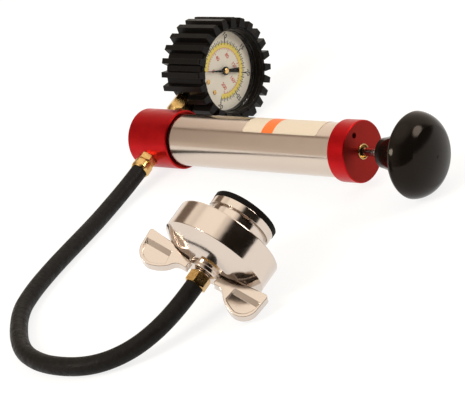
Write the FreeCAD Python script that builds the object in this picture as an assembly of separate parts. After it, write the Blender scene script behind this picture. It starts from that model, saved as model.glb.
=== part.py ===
import FreeCAD, Part
import math
import os

from FreeCAD import Placement, Rotation, Vector

# Radiator pressure tester: a hand pump with a dial gauge on its head, a short hose, and a
# cap-shaped adapter that locks onto a radiator's filler neck. Millimetres.
#
# The pump and the adapter are each drawn in a frame of their own, with X along their axis:
#   pump     X from the closed end of the head towards the knob, Z from the barrel to the gauge
#   adapter  X from the hose towards the rubber seal, Z along the wings
# They are then laid down on the floor, z = 0, the way the tester lies when it is put away.

# Fits
SEAT = 0.05          # radial clearance of a part that is pressed or screwed home
RUN = 0.05           # radial clearance of a shaft in its bore
LAID = 0.1           # gap between faces that lie on each other but move apart

# Barrel
TUBE_R = 16.0        # 1 1/4 inch tube
TUBE_WALL = 1.2
BORE_R = TUBE_R - TUBE_WALL

# Head, the machined block at the closed end
HEAD_R = 18.2
HEAD_LEN = 32.9
HEAD_EDGE = 0.6
HEAD_SOCKET_LEN = 8.9
HEAD_GROOVE_R = 17.2
HEAD_GROOVE_DEPTH = 3.0
GAUGE_PORT_X = 8.2
HOSE_PORT_X = 13.9
PASSAGE_R = 3.0
PASSAGE_X0 = 7.0
PORT_R = 2.5
THREAD_R = 4.5
THREAD_LEN = 8.0
SPOT_DEPTH = 0.6
SPOT_R = 6.5

# Outlet check valve in the head
VALVE_R = 5.0
VALVE_LEN = 5.0
VALVE_HOLE_R = 1.5
BALL_R = 2.2
BALL_LIFT = 0.8

# Rear cap and rod bush
CAP_X0 = 161.6
CAP_LEN = 12.2
CAP_SOCKET_LEN = 6.6
CAP_EDGE = 0.5
BUSH_R = 4.6
BUSH_PROUD = 0.6
BUSH_LEN = 12.0
BUSH_MOUTH_R = 4.0   # wide mouth round the rod, as deep as the next value
BUSH_MOUTH_LEN = 3.0
VENT_R = 1.7
VENT_OFFSET = 12.6

# Rod, piston and knob
ROD_R = 2.5
PISTON_X = 43.0
PISTON_LEN = 5.0
PISTON_GAP = 0.35
CUP_LEN = 5.5
CUP_WALL = 1.5
WASHER_R = 7.0
WASHER_T = 1.2
NUT_AF = 8.0
NUT_LEN = 3.6
KNOB_X = 188.8
KNOB_NECK_R = 8.8
KNOB_R = 24.8
KNOB_RIM_X = 211.8
KNOB_LEN = 37.7
ROD_IN_KNOB = 15.0
INSERT_R = 5.2
INSERT_LEN = 16.0
BUMPER_R = 6.0
BUMPER_LEN = 4.0

# Gauge, a 2 inch dial in a finned rubber boot. Everything in it is sized from the case.
GAUGE_Z = 62.3       # distance between the gauge's axis and the barrel's
GAUGE_HEX_AF = 13.2
GAUGE_HEX_TOP = 33.2
GAUGE_NECK_R = 5.0
GAUGE_NECK_LEN = 1.0
GAUGE_FLARE_LEN = 5.0
CASE_X0 = 1.8
CASE_R = 27.2
CASE_WALL = 1.0
CASE_LEN = 24.2
CASE_BEND_R = 1.5    # bend between the case's back and side
BOOT_WALL = 2.8
BOOT_BACK = 2.4
BOOT_BACK_HOLE_R = 8.0
BOOT_LIP = 0.6       # how far the boot's front lip reaches in over the bezel
BOOT_LIP_T = 1.6
FIN_HEIGHT = 4.2
FIN_PROUD = 1.4      # how far the fins stand in front of the lip
FIN_COUNT = 24
FIN_ROOT_W = 4.6
FIN_TIP_W = 3.4
NOTCH_W = 17.0
DIAL_DEPTH = 5.0     # from the front of the case to the face of the dial
DIAL_T = 0.7
DIAL_GAP = 0.4
POINTER_GAP = 1.3
POINTER_T = 0.5
POINTER_TIP = 18.6
POINTER_TAIL = 12.5
POINTER_ZERO = 50.0  # degrees below nine o'clock
HUB_R = 2.7
SPINDLE_R = 0.75
BUTTON_R = 1.9
LENS_T = 1.6
BEZEL_LEN = 2.6
BEZEL_W = 1.5
SOCKET_W = 11.0
SOCKET_T = 9.0
SOCKET_TOP = 12.0    # below the gauge's axis
SOLDER_LAP = 5.0     # height of the block beside the end of the pressure tube
PLATE_T = 1.2
PLATE_W = 14.0
PLATE_TOP = 9.0
PLATE_GAP = 5.8
PILLAR_R = 1.2
BOURDON_GAP = 8.0    # between the pressure tube and the case
BOURDON_W = 6.0
BOURDON_T = 2.0
BOURDON_SWEEP = 258.0
DIAL_SCREW_Y = 4.5
DIAL_SCREW_Z = 15.4

# Hose and its two brass ends
HOSE_R = 5.1
HOSE_BORE_R = 2.6
HOSE_NUT_AF = 10.4
HOSE_NUT_LEN = 4.5
FERRULE_R = 6.2
FERRULE_LEN = 7.0

# Adapter for the filler neck
DRUM_R = 31.0
DRUM_LEN = 15.0
DRUM_WALL = 2.8
DRUM_FLOOR_X = 1.5
WING_TIP = 37.8
WING_TOP_X = -3.8
WING_ROOT_X = -6.6
TROUGH_X = -4.4      # floor of the groove that the wings cross
TROUGH_W = 13.0
WING_LOW_X = -22.2
WING_VALLEY_X = -13.2
WING_VALLEY_Z = 14.5
WING_T = 6.4
RECESS_DEPTH = 1.8
RIDGE_W = 5.6        # along the top of the recess
RIM_W = 1.5          # round its other sides
BOSS_R = 9.4
BOSS_X = -10.6
BOSS_LEN = 2.4
STEM_R = 4.6
STEM_BORE_R = 2.0
COLLAR_R = 5.3
COLLAR_T = 0.9
END_HEX_AF = 11.2
END_HEX_LEN = 6.9
PRESS_TRAVEL = 5.0
WASHER2_R = 12.5
WASHER2_T = 1.2
SPRING_R = 9.5
SPRING_WIRE = 1.6
SPRING_TURNS = 4.5
VALVE_SPRING_R = 2.1
VALVE_SPRING_WIRE = 0.5
VALVE_SPRING_TURNS = 5.5
PLUNGER_R = 17.1
PLUNGER_WALL = 1.8
PLUNGER_X0 = 8.0
PLUNGER_FLOOR_X = 20.0
SEAL_R = 19.0
FLANGE_X0 = 23.5
FLANGE_LEN = 4.9
SEAL_T = 3.1
SCREW_R = 7.0
LOCK_RING_T = 1.1
LOCK_RING_X = 11.0
LOCK_RING_LEN = 3.4
LOCK_TAB_R = 23.6
LOCK_TAB_W = 15.0
LOCK_TAB_T = 1.6

# How the tester lies on the floor
ADAPTER_AT = (165.4, -126.4)          # foot of the drum's near rim centre
ADAPTER_HEADING = 82.0                # degrees from X, seen from above
ADAPTER_RISE = 21.6                   # degrees, seal end up
WING_DIP = 32.3                       # degrees the lower wing points below level
HOSE_FREE_POINTS = [(18.6, -68.8, 5.3), (22.6, -87.0, 5.2), (26.6, -108.0, 5.2), (31.2, -130.0, 5.2),
                    (37.6, -153.0, 5.2), (47.4, -174.4, 5.2), (74.6, -201.4, 5.2), (98.5, -209.9, 5.2),
                    (121.9, -207.8, 5.2), (137.8, -200.4, 5.6), (150.1, -188.3, 8.0), (158.1, -173.3, 12.4)]
HOSE_STRAIGHT_HEAD = 13.0
HOSE_STRAIGHT_END = 12.3


def profile_face(points):
    """Face in the XZ plane from (x, z) corners; (xm, zm, x, z) is an arc through its middle."""
    edges = []
    here = Vector(points[0][0], 0, points[0][1])
    for point in list(points[1:]) + [points[0][-2:]]:
        there = Vector(point[-2], 0, point[-1])
        if len(point) == 4:
            middle = Vector(point[0], 0, point[1])
            edges.append(Part.Arc(here, middle, there).toShape())
        else:
            edges.append(Part.LineSegment(here, there).toShape())
        here = there
    return Part.Face(Part.Wire(edges))


def turned(points):
    """Solid turned about X from a profile of (x, radius) corners."""
    return profile_face(points).revolve(Vector(0, 0, 0), Vector(1, 0, 0), 360)


def nose(x0, radius, x1):
    """Arc for a turned profile that closes it with a dome, from (x0, radius) to the axis at x1."""
    rise = x1 - x0
    sphere = (radius ** 2 + rise ** 2) / (2 * rise)
    half = math.asin(radius / sphere) / 2
    return (x1 - sphere + sphere * math.cos(half), sphere * math.sin(half), x1, 0)


def ring(x0, x1, outer, inner=0.0):
    """Plain disc or tube about X."""
    body = Part.makeCylinder(outer, x1 - x0, Vector(x0, 0, 0), Vector(1, 0, 0))
    if inner:
        body = body.cut(Part.makeCylinder(inner, x1 - x0 + 2, Vector(x0 - 1, 0, 0), Vector(1, 0, 0)))
    return body


def coil(x0, x1, radius, wire, turns):
    """Round-wire spring about X between two faces."""
    rise = x1 - x0 - wire
    line = Part.makeHelix(rise / turns, rise, radius)
    body = swept(Part.Wire(line.Edges), wire / 2)
    body.rotate(Vector(0, 0, 0), Vector(0, 1, 0), 90)
    body.translate(Vector(x0 + wire / 2, 0, 0))
    return body


def hexagon(across_flats, x0, x1):
    """Hexagonal bar about X, its corners chamfered as on a turned nut."""
    corner = across_flats / math.sqrt(3)
    corners = [Vector(x0, corner * math.cos(math.radians(60 * i)), corner * math.sin(math.radians(60 * i)))
               for i in range(7)]
    bar = Part.Face(Part.makePolygon(corners)).extrude(Vector(x1 - x0, 0, 0))
    flat = across_flats / 2
    slope = (corner - flat) * 0.6
    blank = turned([(x0, 0), (x0, flat), (x0 + slope, corner + 0.01), (x1 - slope, corner + 0.01), (x1, flat), (x1, 0)])
    return bar.common(blank)


def about_z(shape, x, down=False):
    """Stand a piece drawn about X upright on the pump's Z axis at the given x."""
    turn = Rotation(Vector(0, 1, 0), 90 if down else -90)
    shape = shape.copy()
    shape.Placement = Placement(Vector(x, 0, 0), turn)
    return shape


def on_gauge_axis(shape):
    shape = shape.copy()
    shape.translate(Vector(0, 0, GAUGE_Z))
    return shape


# Pump

SOCKET_X = HEAD_LEN - HEAD_SOCKET_LEN
CAP_X1 = CAP_X0 + CAP_LEN
TUBE_END_X = CAP_X0 + CAP_SOCKET_LEN
SPOT_Z = HEAD_R - SPOT_DEPTH
BALL_X = SOCKET_X - VALVE_LEN - math.sqrt(BALL_R ** 2 - VALVE_HOLE_R ** 2) - 0.02


def head_cap():
    body = turned([(0, 0), (0, HEAD_R - HEAD_EDGE), (HEAD_EDGE, HEAD_R), (HEAD_LEN - HEAD_EDGE, HEAD_R),
                   (HEAD_LEN, HEAD_R - HEAD_EDGE), (HEAD_LEN, HEAD_GROOVE_R),
                   (HEAD_LEN - HEAD_GROOVE_DEPTH, HEAD_GROOVE_R), (HEAD_LEN - HEAD_GROOVE_DEPTH, TUBE_R + SEAT),
                   (SOCKET_X, TUBE_R + SEAT), (SOCKET_X, VALVE_R + SEAT),
                   (SOCKET_X - VALVE_LEN, VALVE_R + SEAT), (SOCKET_X - VALVE_LEN, PASSAGE_R),
                   (PASSAGE_X0, PASSAGE_R), (PASSAGE_X0, 0)])
    port = ring(0, HEAD_R + 1, PORT_R).fuse(ring(SPOT_Z - THREAD_LEN, HEAD_R + 1, THREAD_R + SEAT))
    port = port.fuse(ring(SPOT_Z, HEAD_R + 1, SPOT_R))
    return body.cut(about_z(port, GAUGE_PORT_X)).cut(about_z(port, HOSE_PORT_X, down=True))


def barrel_tube():
    return ring(SOCKET_X + 0.8, TUBE_END_X - SEAT, TUBE_R, BORE_R)


def barrel_seal():
    """Flat rubber ring that the end of the tube is screwed down on."""
    return ring(SOCKET_X + SEAT, SOCKET_X + 0.8 - SEAT, TUBE_R - SEAT, BORE_R)


def rear_cap():
    body = turned([(CAP_X0, TUBE_R + SEAT), (CAP_X0, TUBE_R + 1.6), (CAP_X0 + CAP_EDGE, HEAD_R),
                   (CAP_X1 - CAP_EDGE, HEAD_R), (CAP_X1, HEAD_R - CAP_EDGE), (CAP_X1, BUSH_R + SEAT),
                   (TUBE_END_X, BUSH_R + SEAT), (TUBE_END_X, TUBE_R + SEAT)])
    vent = Part.makeCylinder(VENT_R, CAP_LEN, Vector(TUBE_END_X - 1, -VENT_OFFSET, 0), Vector(1, 0, 0))
    return body.cut(vent)


def rod_bush():
    x1 = CAP_X1 + BUSH_PROUD
    return turned([(x1 - BUSH_LEN, ROD_R + RUN), (x1 - BUSH_LEN, BUSH_R + 2.5), (TUBE_END_X - SEAT, BUSH_R + 2.5),
                   (TUBE_END_X - SEAT, BUSH_R), (x1 - 0.2, BUSH_R), (x1, BUSH_R - 0.2), (x1, BUSH_MOUTH_R),
                   (x1 - BUSH_MOUTH_LEN, BUSH_MOUTH_R), (x1 - BUSH_MOUTH_LEN, ROD_R + RUN)])


def bumper():
    """Rubber ring that stops the piston against the bush."""
    x1 = CAP_X1 + BUSH_PROUD - BUSH_LEN
    return ring(x1 - BUMPER_LEN, x1 - SEAT, BUMPER_R, ROD_R + 0.3)


def valve_seat():
    x0 = SOCKET_X - VALVE_LEN + SEAT
    return ring(x0, SOCKET_X, VALVE_R, VALVE_HOLE_R)


def valve_ball():
    return Part.makeSphere(BALL_R, Vector(BALL_X, 0, 0))


def valve_spring():
    """Light coil spring behind the ball."""
    seat = BALL_X - math.sqrt((BALL_R + VALVE_SPRING_WIRE / 2) ** 2 - VALVE_SPRING_R ** 2)
    return coil(PASSAGE_X0 + 0.05, seat + VALVE_SPRING_WIRE / 2, VALVE_SPRING_R, VALVE_SPRING_WIRE, VALVE_SPRING_TURNS)


def hose_fitting():
    """Threaded nipple, nut and crimped ferrule in one brass turning, square to the barrel."""
    nut_x1 = SPOT_Z + HOSE_NUT_LEN
    end = nut_x1 + FERRULE_LEN
    stub = ring(SPOT_Z - THREAD_LEN + 0.5, SPOT_Z + 0.5, THREAD_R)
    ferrule = turned([(nut_x1 - 0.5, 0), (nut_x1 - 0.5, 4.6), (nut_x1, 5.0), (nut_x1 + 1.2, FERRULE_R - 0.2),
                      (end - 1.6, FERRULE_R), (end - 1.0, FERRULE_R - 0.2), (end, FERRULE_R - 0.7), (end, 0)])
    body = stub.fuse(hexagon(HOSE_NUT_AF, SPOT_Z, nut_x1)).fuse(ferrule)
    body = body.cut(ring(SPOT_Z - THREAD_LEN - 1, end + 1, HOSE_BORE_R - 0.6))
    return about_z(body.removeSplitter(), HOSE_PORT_X, down=True)


def piston_rod():
    x0 = PISTON_X - WASHER_T - NUT_LEN
    return turned([(x0, 0), (x0, ROD_R - 0.4), (x0 + 0.4, ROD_R), (KNOB_X + ROD_IN_KNOB, ROD_R), (KNOB_X + ROD_IN_KNOB, 0)])


def piston():
    x1 = PISTON_X + PISTON_LEN
    return turned([(PISTON_X, ROD_R + SEAT), (PISTON_X, BORE_R - PISTON_GAP - 3), (x1 - 1.5, BORE_R - PISTON_GAP - 3),
                   (x1 - 1.5, BORE_R - PISTON_GAP), (x1 + 1.5, BORE_R - PISTON_GAP), (x1 + 1.5, 6.0),
                   (x1 + 5.0, 6.0), (x1 + 5.0, ROD_R + SEAT)])


def piston_cup():
    """Rubber cup whose lip faces the head and seals on the bore."""
    x1 = PISTON_X + PISTON_LEN - 1.5 - SEAT
    x0 = x1 - CUP_LEN
    seal_r = BORE_R - RUN
    inner = BORE_R - PISTON_GAP - 3 + SEAT
    return turned([(x1, inner), (x1, seal_r - 0.4), (x0, seal_r), (x0, seal_r - CUP_WALL * 0.6),
                   (x1 - 2.0, seal_r - CUP_WALL), (x1 - 2.0, inner)])


def piston_washer():
    return ring(PISTON_X - WASHER_T, PISTON_X - SEAT, WASHER_R, ROD_R + SEAT)


def piston_nut():
    x1 = PISTON_X - WASHER_T - SEAT
    return hexagon(NUT_AF, x1 - NUT_LEN, x1).cut(ring(x1 - NUT_LEN - 1, x1 + 1, ROD_R + SEAT))


def knob():
    end = KNOB_X + KNOB_LEN
    rim = KNOB_RIM_X
    hollow = INSERT_R + SEAT
    return turned([(KNOB_X, hollow), (KNOB_X, KNOB_NECK_R - 0.5), (KNOB_X + 0.15, KNOB_NECK_R - 0.15, KNOB_X + 0.5, KNOB_NECK_R),
                   (KNOB_X + 8.0, KNOB_NECK_R + 2.2, KNOB_X + 13.0, KNOB_NECK_R + 5.2),
                   (rim - 5.5, KNOB_R - 6.6, rim - 2.8, KNOB_R - 2.0),
                   (rim - 1.5, KNOB_R - 0.6, rim, KNOB_R),
                   (rim + 6.6, KNOB_R - 2.5, rim + 11.0, KNOB_R - 7.4),
                   nose(rim + 11.0, KNOB_R - 7.4, end), (KNOB_X + INSERT_LEN + SEAT, 0),
                   (KNOB_X + INSERT_LEN + SEAT, hollow)])


def knob_insert():
    """Threaded brass insert moulded into the knob; the rod is screwed into it."""
    x0 = KNOB_X - 1.0
    body = ring(x0, KNOB_X + INSERT_LEN, INSERT_R)
    return body.cut(ring(x0 - 1, KNOB_X + ROD_IN_KNOB + SEAT, ROD_R + SEAT))


# Gauge

CASE_X1 = CASE_X0 + CASE_LEN
CASE_BORE_R = CASE_R - CASE_WALL
DIAL_X = CASE_X1 - DIAL_DEPTH
LENS_X = CASE_X1 - LENS_T - SEAT
POINTER_X = DIAL_X + POINTER_GAP
BOOT_X0 = CASE_X0 - BOOT_BACK - SEAT
BOOT_X1 = CASE_X1 + BEZEL_LEN + 2 * SEAT + BOOT_LIP_T
BOOT_R = CASE_R + BOOT_WALL
FIN_TIP_R = BOOT_R + FIN_HEIGHT
STEM_HOLE_R = THREAD_R + 0.7
SOCKET_FOOT = GAUGE_Z - math.sqrt(CASE_BORE_R ** 2 - (SOCKET_W / 2) ** 2) + SEAT
SOCKET_HEAD = GAUGE_Z - SOCKET_TOP
BOURDON_R = CASE_BORE_R - BOURDON_GAP


def gauge_fitting():
    """Brass hexagon between the head and the gauge."""
    corner = GAUGE_HEX_AF / math.sqrt(3) + 0.01
    flare = SPOT_Z + GAUGE_NECK_LEN
    blank = turned([(SPOT_Z, 0), (SPOT_Z, GAUGE_NECK_R - 0.3), (SPOT_Z + 0.3, GAUGE_NECK_R), (flare, GAUGE_NECK_R),
                    (flare + GAUGE_FLARE_LEN, corner), (GAUGE_HEX_TOP, corner), (GAUGE_HEX_TOP, 0)])
    blank = blank.common(hexagon(GAUGE_HEX_AF, SPOT_Z - 2, GAUGE_HEX_TOP))
    body = ring(SPOT_Z - THREAD_LEN + 0.5, SPOT_Z + 0.5, THREAD_R).fuse(blank)
    body = body.cut(ring(SPOT_Z - THREAD_LEN, GAUGE_HEX_TOP + 1, 1.8))
    body = body.cut(ring(GAUGE_HEX_TOP - 6, GAUGE_HEX_TOP + 1, THREAD_R + SEAT))
    return about_z(body, GAUGE_PORT_X)


def gauge_socket():
    """Brass block with the gauge's thread below and two pillars for the dial's screws."""
    stub = ring(GAUGE_HEX_TOP - 5.5, SOCKET_FOOT + 1, THREAD_R)
    height = SOCKET_HEAD - SOCKET_FOOT
    block = Part.makeBox(height, SOCKET_W, SOCKET_T, Vector(SOCKET_FOOT, -SOCKET_W / 2, -SOCKET_T / 2))
    body = about_z(stub.fuse(block).cut(ring(GAUGE_HEX_TOP - 6, SOCKET_HEAD - 6, 1.2)), GAUGE_PORT_X)
    for side in (1, -1):
        x0 = GAUGE_PORT_X + SOCKET_T / 2 - 0.5
        place = Vector(x0, side * DIAL_SCREW_Y, GAUGE_Z - DIAL_SCREW_Z)
        pillar = Part.makeCylinder(1.3, DIAL_X - DIAL_T - SEAT - x0, place, Vector(1, 0, 0))
        hole = Part.makeCylinder(0.65 + SEAT, 20, place, Vector(1, 0, 0))
        body = body.fuse(pillar).cut(hole)
    return body.removeSplitter()


def dial_screws():
    """Two small brass screws that hold the dial on the socket's pillars."""
    pieces = []
    for side in (1, -1):
        x0 = DIAL_X + 0.02
        place = Vector(0, side * DIAL_SCREW_Y, -DIAL_SCREW_Z)
        head = turned([(x0, 0), (x0, 1.5), (x0 + 0.4, 1.5), (x0 + 0.7, 1.1), (x0 + 0.7, 0)])
        shank = ring(x0 - 5.0, x0 + 0.1, 0.65)
        slot = Part.makeBox(1, 4, 0.4, Vector(x0 + 0.4, -2, -0.2))
        screw = head.fuse(shank).cut(slot)
        screw.translate(place)
        pieces.append(screw)
    return on_gauge_axis(Part.makeCompound(pieces))


def gauge_case():
    bend = CASE_BEND_R
    middle = bend * (1 - math.sqrt(0.5))
    body = turned([(CASE_X0, 0), (CASE_X0, CASE_R - bend), (CASE_X0 + middle, CASE_R - middle, CASE_X0 + bend, CASE_R),
                   (CASE_X1, CASE_R), (CASE_X1, CASE_BORE_R), (CASE_X0 + bend, CASE_BORE_R),
                   (CASE_X0 + CASE_WALL, CASE_R - bend), (CASE_X0 + CASE_WALL, 0)])
    hole = about_z(ring(GAUGE_Z - CASE_R - 3, GAUGE_Z - CASE_R + 4, STEM_HOLE_R), GAUGE_PORT_X)
    return on_gauge_axis(body).cut(hole)


def bourdon_tube():
    """Curved pressure tube that opens up under pressure, soldered to the side of the socket."""
    inner = BOURDON_R - BOURDON_T
    start = 180 + math.degrees(math.asin((SOCKET_W / 2 + SEAT) / inner))
    x0, x1 = GAUGE_PORT_X - BOURDON_W / 2, GAUGE_PORT_X + BOURDON_W / 2
    face = profile_face([(x0, inner), (x1, inner), (x1, BOURDON_R), (x0, BOURDON_R)])
    body = face.revolve(Vector(0, 0, 0), Vector(1, 0, 0), BOURDON_SWEEP)
    body.rotate(Vector(0, 0, 0), Vector(1, 0, 0), start)
    return on_gauge_axis(body)


def movement_plate():
    """Two brass plates that hold the pointer's spindle, standing on the socket."""
    foot = SEAT - SOCKET_TOP
    half = PLATE_W / 2
    x0 = GAUGE_PORT_X - 1.8
    x1 = x0 + PLATE_T + PLATE_GAP
    back = Part.makeBox(PLATE_T, PLATE_W, PLATE_TOP - foot, Vector(x0, -half, foot))
    front = Part.makeBox(PLATE_T, PLATE_W, PLATE_TOP + half, Vector(x1, -half, -half))
    places = ((-half + 2, PLATE_TOP - 3), (half - 2, PLATE_TOP - 3), (half - 2, -half + 2))
    pillars = [Part.makeCylinder(PILLAR_R, x1 - x0, Vector(x0, y, z), Vector(1, 0, 0)) for y, z in places]
    body = back.fuse(pillars + [front])
    return on_gauge_axis(body.cut(ring(x0 - 1, x1 + PLATE_T + 1, SPINDLE_R + RUN)))


def dial_plate():
    body = ring(DIAL_X - DIAL_T, DIAL_X, CASE_BORE_R - DIAL_GAP, SPINDLE_R + 0.6)
    for side in (1, -1):
        place = Vector(DIAL_X - DIAL_T - 1, side * DIAL_SCREW_Y, -DIAL_SCREW_Z)
        body = body.cut(Part.makeCylinder(0.65 + SEAT, DIAL_T + 2, place, Vector(1, 0, 0)))
    return on_gauge_axis(body)


def pointer():
    """Flat blade at rest on zero, with a broad tail and a round hub."""
    x0 = POINTER_X
    blade = [Vector(x0, -POINTER_TIP, 0), Vector(x0, -3.0, 0.8), Vector(x0, 3.0, 1.0), Vector(x0, POINTER_TAIL, 1.7),
             Vector(x0, POINTER_TAIL, -1.7), Vector(x0, 3.0, -1.0), Vector(x0, -3.0, -0.8), Vector(x0, -POINTER_TIP, 0)]
    body = Part.Face(Part.makePolygon(blade)).extrude(Vector(POINTER_T, 0, 0))
    body = body.fuse(ring(x0, x0 + POINTER_T + 0.4, HUB_R)).cut(ring(x0 - 1, x0 + 3, SPINDLE_R + 0.02))
    body.rotate(Vector(0, 0, 0), Vector(1, 0, 0), POINTER_ZERO)
    return on_gauge_axis(body)


def pointer_spindle():
    """Spindle with its pinion blank, and the brass button that shows in front of the pointer."""
    x0 = GAUGE_PORT_X - 2.2
    button = POINTER_X + POINTER_T + 0.45
    body = ring(x0, button + 0.2, SPINDLE_R).fuse(ring(GAUGE_PORT_X + 1.4, GAUGE_PORT_X + 3.4, 2.0))
    body = body.fuse(turned([(button, 0), (button, BUTTON_R), (button + 0.5, BUTTON_R), (button + 0.8, BUTTON_R - 0.4),
                             (button + 0.8, 0)]))
    return on_gauge_axis(body)


def gauge_lens():
    return on_gauge_axis(ring(LENS_X, LENS_X + LENS_T, CASE_BORE_R - 0.1))


def dial_spacer():
    """Thin ring that holds the dial back from the lens."""
    return on_gauge_axis(ring(DIAL_X + SEAT, LENS_X - SEAT, CASE_BORE_R - SEAT, CASE_BORE_R - 1.0))


def bezel():
    """Black ring pressed over the lens."""
    x0 = CASE_X1 + SEAT
    x1 = x0 + BEZEL_LEN
    body = turned([(x0, CASE_R - BEZEL_W), (x0, CASE_R), (x1 - 0.4, CASE_R), (x1, CASE_R - 0.4),
                   (x1, CASE_R - BEZEL_W + 0.7), (x0 + 0.4, CASE_R - BEZEL_W)])
    return on_gauge_axis(body)


def boot_fin():
    """One fin along the boot, which turns in over the front down to the lip's edge."""
    slope = (FIN_ROOT_W - FIN_TIP_W) / 2 / (FIN_TIP_R - BOOT_R)
    rounded = 1.2
    front = BOOT_X1 + FIN_PROUD
    lip = CASE_R - BOOT_LIP + 0.5
    side = profile_face([(BOOT_X0, BOOT_R - 1), (BOOT_X0, FIN_TIP_R), (front - rounded, FIN_TIP_R),
                         (front - rounded * 0.3, FIN_TIP_R - rounded * 0.3, front, FIN_TIP_R - rounded),
                         (front, lip + 1.0), (BOOT_X1 - 0.4, lip), (BOOT_X1 - 0.4, BOOT_R - 1)])
    slab = side.extrude(Vector(0, FIN_ROOT_W * 2, 0))
    slab.translate(Vector(0, -FIN_ROOT_W, 0))
    low, high = lip - 1, FIN_TIP_R + 1
    half_low = FIN_TIP_W / 2 + slope * (FIN_TIP_R - low)
    half_high = FIN_TIP_W / 2 - slope
    section = [Vector(BOOT_X0 - 1, -half_low, low), Vector(BOOT_X0 - 1, half_low, low),
               Vector(BOOT_X0 - 1, half_high, high), Vector(BOOT_X0 - 1, -half_high, high)]
    wedge = Part.Face(Part.makePolygon(section + section[:1])).extrude(Vector(front - BOOT_X0 + 2, 0, 0))
    return slab.common(wedge)


def gauge_boot():
    """Moulded rubber boot with tapered fins all round and a notch for the gauge's fitting."""
    inner = CASE_R + SEAT
    lip = CASE_R - BOOT_LIP
    shell = turned([(BOOT_X0, BOOT_BACK_HOLE_R), (BOOT_X0, BOOT_R - 0.8), (BOOT_X0 + 0.8, BOOT_R),
                    (BOOT_X1 - 1.0, BOOT_R), (BOOT_X1, BOOT_R - 1.0), (BOOT_X1, lip + 0.5),
                    (BOOT_X1 - 0.5, lip), (BOOT_X1 - BOOT_LIP_T, lip), (BOOT_X1 - BOOT_LIP_T, inner),
                    (CASE_X0 - SEAT, inner), (CASE_X0 - SEAT, BOOT_BACK_HOLE_R)])
    fin = boot_fin()
    fins = []
    for i in range(FIN_COUNT):
        copy = fin.copy()
        copy.rotate(Vector(0, 0, 0), Vector(1, 0, 0), 360.0 * (i + 0.5) / FIN_COUNT)
        fins.append(copy)
    body = on_gauge_axis(shell.fuse(fins).removeSplitter())
    reach = FIN_TIP_R - CASE_R + 2
    length = GAUGE_PORT_X + NOTCH_W / 2 - BOOT_X0 + 1
    notch = Part.makeBox(length, NOTCH_W, reach, Vector(BOOT_X0 - 1, -NOTCH_W / 2, GAUGE_Z - CASE_R - reach + 1))
    return body.cut(notch)


# Adapter

DRUM_BORE_R = DRUM_R - DRUM_WALL
STEM_X0 = BOSS_X - LAID - COLLAR_T
SEAL_X0 = FLANGE_X0 + FLANGE_LEN


def wing(side):
    """One upright wing of the cap, drawn in the plane of the axis and the wings."""
    corner = 1.4
    points = [(WING_ROOT_X, 0), (WING_TOP_X, WING_TIP - corner),
              (WING_TOP_X - corner * 0.3, WING_TIP - corner * 0.25, WING_TOP_X - corner, WING_TIP),
              (WING_LOW_X + 8.0, WING_TIP - 0.8),
              (WING_LOW_X + 1.6, WING_TIP - 4.6, WING_LOW_X, WING_TIP - 10.4),
              (WING_LOW_X + 2.2, WING_TIP - 16.4, WING_VALLEY_X - 3.6, WING_VALLEY_Z + 2.8),
              (WING_VALLEY_X - 0.9, WING_VALLEY_Z + 0.4, WING_VALLEY_X, WING_VALLEY_Z - 3.6), (WING_VALLEY_X, 0)]
    points = [tuple(side * v if i % 2 else v for i, v in enumerate(p)) for p in points]
    plate = profile_face(points).extrude(Vector(0, WING_T, 0))
    plate.translate(Vector(0, -WING_T / 2, 0))
    return plate


def wing_recess(side, face):
    """Finger rest in one face of a wing: a sloping wall along the top, then a floor that rises."""
    top = WING_TOP_X - RIDGE_W
    points = [(top, WING_VALLEY_Z + 6.0), (top, WING_TIP - RIM_W),
              (WING_LOW_X + 8.0, WING_TIP - 0.8 - RIM_W),
              (WING_LOW_X + 3.0, WING_TIP - 5.8, WING_LOW_X + RIM_W, WING_TIP - 10.5),
              (WING_LOW_X + 3.5, WING_TIP - 15.6, WING_VALLEY_X - 4.0, WING_VALLEY_Z + 5.0)]
    points = [tuple(side * v if i % 2 else v for i, v in enumerate(p)) for p in points]
    pocket = profile_face(points).extrude(Vector(0, face * WING_T, 0))
    low = WING_LOW_X + RIM_W
    wall = top - 2.6
    deep, shallow, out = WING_T / 2 - RECESS_DEPTH, WING_T / 2 - 0.35, WING_T / 2 + 1
    corners = [(top, WING_T / 2), (wall, deep), (low, shallow), (low - 1, out), (top + 1, out)]
    wedge = Part.Face(Part.makePolygon([Vector(x, face * y, 0) for x, y in corners + corners[:1]]))
    wedge = wedge.extrude(Vector(0, 0, side * (WING_TIP + 2)))
    return pocket.common(wedge)


def adapter_cap():
    """Die-cast cap: drum over the filler neck, domed near side, boss and two wings."""
    body = turned([(BOSS_X, STEM_R + RUN), (BOSS_X, BOSS_R - 0.4), (BOSS_X + 0.4, BOSS_R), (BOSS_X + BOSS_LEN, BOSS_R),
                   (-7.4, 17.5), (-5.6, 22.4, -3.0, DRUM_R - 4.0), (0, DRUM_R), (DRUM_LEN - 1, DRUM_R),
                   (DRUM_LEN - 0.3, DRUM_R - 0.3, DRUM_LEN, DRUM_R - 1), (DRUM_LEN, DRUM_BORE_R),
                   (DRUM_FLOOR_X, DRUM_BORE_R), (DRUM_FLOOR_X, STEM_R + RUN)])
    for side in (1, -1):
        reach = DRUM_R + 1 - BOSS_R
        trough = Part.makeBox(20, TROUGH_W, reach, Vector(TROUGH_X - 20, -TROUGH_W / 2, BOSS_R))
        if side < 0:
            trough.rotate(Vector(0, 0, 0), Vector(1, 0, 0), 180)
        body = body.cut(trough)
    body = body.fuse([wing(1), wing(-1)])
    for side in (1, -1):
        for face in (1, -1):
            body = body.cut(wing_recess(side, face))
    bore = ring(WING_LOW_X, DRUM_FLOOR_X + 1, STEM_R + RUN)
    room = ring(WING_LOW_X - 1, BOSS_X, BOSS_R)
    return body.cut(bore).cut(room).removeSplitter()


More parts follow.
